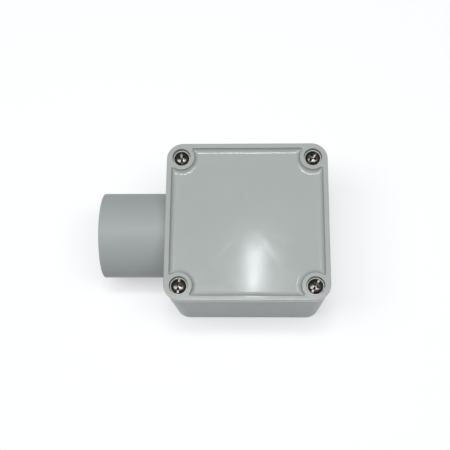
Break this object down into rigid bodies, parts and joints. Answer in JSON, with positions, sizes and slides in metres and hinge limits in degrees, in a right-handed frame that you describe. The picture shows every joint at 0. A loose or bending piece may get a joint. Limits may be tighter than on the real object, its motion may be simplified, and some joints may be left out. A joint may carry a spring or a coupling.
{
  "type": "generator inlet box",
  "caption": "Square grey moulded connection box with a screwed, gasketed lid, a side socket for conduit and a block of screw terminals inside.",
  "frame": {"origin": "centre of the flat back face, which the box lies on", "axes": "+X away from the conduit socket along the socket's axis, +Y to the top edge as mounted, +Z out through the lid"},
  "size_m": [0.1479, 0.104, 0.0695],
  "materials": {
    "shell_base": "satin moulded light-grey PVC",
    "shell_socket": "satin moulded light-grey PVC",
    "shell_lid": "satin moulded light-grey PVC",
    "gasket": "black closed-cell sealing cord",
    "insert_brass": "knurled brass",
    "plug_rubber": "dark grey rubber",
    "carrier_plastic": "dark moulded thermoset",
    "fixing_steel": "zinc-plated steel",
    "terminal_brass": "bright brass",
    "seal_nylon": "natural nylon",
    "screw_nickel": "nickel-plated steel",
    "pad_steel": "zinc-plated steel",
    "clamp_steel": "zinc-plated steel"
  },
  "bodies": {
    "base": {"box_base": "shell_base", "conduit_socket": "shell_socket", "lid_gasket": "gasket", "insert_top_left": "insert_brass", "mounting_plug_top_left": "plug_rubber", "insert_top_right": "insert_brass", "mounting_plug_top_right": "plug_rubber", "insert_bottom_left": "insert_brass", "mounting_plug_bottom_left": "plug_rubber", "insert_bottom_right": "insert_brass", "mounting_plug_bottom_right": "plug_rubber", "terminal_carrier": "carrier_plastic", "carrier_screw_top": "fixing_steel", "carrier_screw_bottom": "fixing_steel", "tunnel_l1": "terminal_brass", "tunnel_l2": "terminal_brass", "tunnel_l3": "terminal_brass", "tunnel_n": "terminal_brass", "tunnel_e": "terminal_brass"},
    "lid": {"lid": "shell_lid"},
    "seal_top_left": {"screw_seal_top_left": "seal_nylon"},
    "screw_top_left": {"lid_screw_top_left": "screw_nickel"},
    "seal_top_right": {"screw_seal_top_right": "seal_nylon"},
    "screw_top_right": {"lid_screw_top_right": "screw_nickel"},
    "seal_bottom_left": {"screw_seal_bottom_left": "seal_nylon"},
    "screw_bottom_left": {"lid_screw_bottom_left": "screw_nickel"},
    "seal_bottom_right": {"screw_seal_bottom_right": "seal_nylon"},
    "screw_bottom_right": {"lid_screw_bottom_right": "screw_nickel"},
    "pad_l1_in": {"pressure_pad_l1_in": "pad_steel"},
    "clamp_l1_in": {"clamp_screw_l1_in": "clamp_steel"},
    "pad_l1_out": {"pressure_pad_l1_out": "pad_steel"},
    "clamp_l1_out": {"clamp_screw_l1_out": "clamp_steel"},
    "pad_l2_in": {"pressure_pad_l2_in": "pad_steel"},
    "clamp_l2_in": {"clamp_screw_l2_in": "clamp_steel"},
    "pad_l2_out": {"pressure_pad_l2_out": "pad_steel"},
    "clamp_l2_out": {"clamp_screw_l2_out": "clamp_steel"},
    "pad_l3_in": {"pressure_pad_l3_in": "pad_steel"},
    "clamp_l3_in": {"clamp_screw_l3_in": "clamp_steel"},
    "pad_l3_out": {"pressure_pad_l3_out": "pad_steel"},
    "clamp_l3_out": {"clamp_screw_l3_out": "clamp_steel"},
    "pad_n_in": {"pressure_pad_n_in": "pad_steel"},
    "clamp_n_in": {"clamp_screw_n_in": "clamp_steel"},
    "pad_n_out": {"pressure_pad_n_out": "pad_steel"},
    "clamp_n_out": {"clamp_screw_n_out": "clamp_steel"},
    "pad_e_in": {"pressure_pad_e_in": "pad_steel"},
    "clamp_e_in": {"clamp_screw_e_in": "clamp_steel"},
    "pad_e_out": {"pressure_pad_e_out": "pad_steel"},
    "clamp_e_out": {"clamp_screw_e_out": "clamp_steel"}
  },
  "joints": [
    {"name": "lid_lift", "type": "slide", "parent": "base", "child": "lid", "axis": [0, 0, 1], "range_m": [0, 0.08]},
    {"name": "screw_rise_top_left", "type": "slide", "parent": "lid", "child": "seal_top_left", "axis": [0, 0, 1], "range_m": [0, 0.0128]},
    {"name": "screw_turn_top_left", "type": "hinge", "parent": "seal_top_left", "child": "screw_top_left", "pos_m": [-0.0425, 0.0425, 0.066], "axis": [0, 0, 1], "range_deg": [0, 5760]},
    {"name": "screw_rise_top_right", "type": "slide", "parent": "lid", "child": "seal_top_right", "axis": [0, 0, 1], "range_m": [0, 0.0128]},
    {"name": "screw_turn_top_right", "type": "hinge", "parent": "seal_top_right", "child": "screw_top_right", "pos_m": [0.0425, 0.0425, 0.066], "axis": [0, 0, 1], "range_deg": [0, 5760]},
    {"name": "screw_rise_bottom_left", "type": "slide", "parent": "lid", "child": "seal_bottom_left", "axis": [0, 0, 1], "range_m": [0, 0.0128]},
    {"name": "screw_turn_bottom_left", "type": "hinge", "parent": "seal_bottom_left", "child": "screw_bottom_left", "pos_m": [-0.0425, -0.0425, 0.066], "axis": [0, 0, 1], "range_deg": [0, 5760]},
    {"name": "screw_rise_bottom_right", "type": "slide", "parent": "lid", "child": "seal_bottom_right", "axis": [0, 0, 1], "range_m": [0, 0.0128]},
    {"name": "screw_turn_bottom_right", "type": "hinge", "parent": "seal_bottom_right", "child": "screw_bottom_right", "pos_m": [0.0425, -0.0425, 0.066], "axis": [0, 0, 1], "range_deg": [0, 5760]},
    {"name": "pad_press_l1_in", "type": "slide", "parent": "base", "child": "pad_l1_in", "axis": [0, 0, -1], "range_m": [0, 0.006]},
    {"name": "clamp_turn_l1_in", "type": "hinge", "parent": "pad_l1_in", "child": "clamp_l1_in", "pos_m": [-0.009, 0.0272, 0.0265], "axis": [0, 0, -1], "range_deg": [0, 2160]},
    {"name": "pad_press_l1_out", "type": "slide", "parent": "base", "child": "pad_l1_out", "axis": [0, 0, -1], "range_m": [0, 0.006]},
    {"name": "clamp_turn_l1_out", "type": "hinge", "parent": "pad_l1_out", "child": "clamp_l1_out", "pos_m": [0.005, 0.0272, 0.0265], "axis": [0, 0, -1], "range_deg": [0, 2160]},
    {"name": "pad_press_l2_in", "type": "slide", "parent": "base", "child": "pad_l2_in", "axis": [0, 0, -1], "range_m": [0, 0.006]},
    {"name": "clamp_turn_l2_in", "type": "hinge", "parent": "pad_l2_in", "child": "clamp_l2_in", "pos_m": [-0.009, 0.0136, 0.0265], "axis": [0, 0, -1], "range_deg": [0, 2160]},
    {"name": "pad_press_l2_out", "type": "slide", "parent": "base", "child": "pad_l2_out", "axis": [0, 0, -1], "range_m": [0, 0.006]},
    {"name": "clamp_turn_l2_out", "type": "hinge", "parent": "pad_l2_out", "child": "clamp_l2_out", "pos_m": [0.005, 0.0136, 0.0265], "axis": [0, 0, -1], "range_deg": [0, 2160]},
    {"name": "pad_press_l3_in", "type": "slide", "parent": "base", "child": "pad_l3_in", "axis": [0, 0, -1], "range_m": [0, 0.006]},
    {"name": "clamp_turn_l3_in", "type": "hinge", "parent": "pad_l3_in", "child": "clamp_l3_in", "pos_m": [-0.009, 0, 0.0265], "axis": [0, 0, -1], "range_deg": [0, 2160]},
    {"name": "pad_press_l3_out", "type": "slide", "parent": "base", "child": "pad_l3_out", "axis": [0, 0, -1], "range_m": [0, 0.006]},
    {"name": "clamp_turn_l3_out", "type": "hinge", "parent": "pad_l3_out", "child": "clamp_l3_out", "pos_m": [0.005, 0, 0.0265], "axis": [0, 0, -1], "range_deg": [0, 2160]},
    {"name": "pad_press_n_in", "type": "slide", "parent": "base", "child": "pad_n_in", "axis": [0, 0, -1], "range_m": [0, 0.006]},
    {"name": "clamp_turn_n_in", "type": "hinge", "parent": "pad_n_in", "child": "clamp_n_in", "pos_m": [-0.009, -0.0136, 0.0265], "axis": [0, 0, -1], "range_deg": [0, 2160]},
    {"name": "pad_press_n_out", "type": "slide", "parent": "base", "child": "pad_n_out", "axis": [0, 0, -1], "range_m": [0, 0.006]},
    {"name": "clamp_turn_n_out", "type": "hinge", "parent": "pad_n_out", "child": "clamp_n_out", "pos_m": [0.005, -0.0136, 0.0265], "axis": [0, 0, -1], "range_deg": [0, 2160]},
    {"name": "pad_press_e_in", "type": "slide", "parent": "base", "child": "pad_e_in", "axis": [0, 0, -1], "range_m": [0, 0.006]},
    {"name": "clamp_turn_e_in", "type": "hinge", "parent": "pad_e_in", "child": "clamp_e_in", "pos_m": [-0.009, -0.0272, 0.0265], "axis": [0, 0, -1], "range_deg": [0, 2160]},
    {"name": "pad_press_e_out", "type": "slide", "parent": "base", "child": "pad_e_out", "axis": [0, 0, -1], "range_m": [0, 0.006]},
    {"name": "clamp_turn_e_out", "type": "hinge", "parent": "pad_e_out", "child": "clamp_e_out", "pos_m": [0.005, -0.0272, 0.0265], "axis": [0, 0, -1], "range_deg": [0, 2160]}
  ],
  "couplings": [
    {"joint": "screw_turn_top_left", "follows": "screw_rise_top_left", "rad_per_m": 7854},
    {"joint": "screw_turn_top_right", "follows": "screw_rise_top_right", "rad_per_m": 7854},
    {"joint": "screw_turn_bottom_left", "follows": "screw_rise_bottom_left", "rad_per_m": 7854},
    {"joint": "screw_turn_bottom_right", "follows": "screw_rise_bottom_right", "rad_per_m": 7854},
    {"joint": "clamp_turn_l1_in", "follows": "pad_press_l1_in", "rad_per_m": 6283.2},
    {"joint": "clamp_turn_l1_out", "follows": "pad_press_l1_out", "rad_per_m": 6283.2},
    {"joint": "clamp_turn_l2_in", "follows": "pad_press_l2_in", "rad_per_m": 6283.2},
    {"joint": "clamp_turn_l2_out", "follows": "pad_press_l2_out", "rad_per_m": 6283.2},
    {"joint": "clamp_turn_l3_in", "follows": "pad_press_l3_in", "rad_per_m": 6283.2},
    {"joint": "clamp_turn_l3_out", "follows": "pad_press_l3_out", "rad_per_m": 6283.2},
    {"joint": "clamp_turn_n_in", "follows": "pad_press_n_in", "rad_per_m": 6283.2},
    {"joint": "clamp_turn_n_out", "follows": "pad_press_n_out", "rad_per_m": 6283.2},
    {"joint": "clamp_turn_e_in", "follows": "pad_press_e_in", "rad_per_m": 6283.2},
    {"joint": "clamp_turn_e_out", "follows": "pad_press_e_out", "rad_per_m": 6283.2}
  ]
}
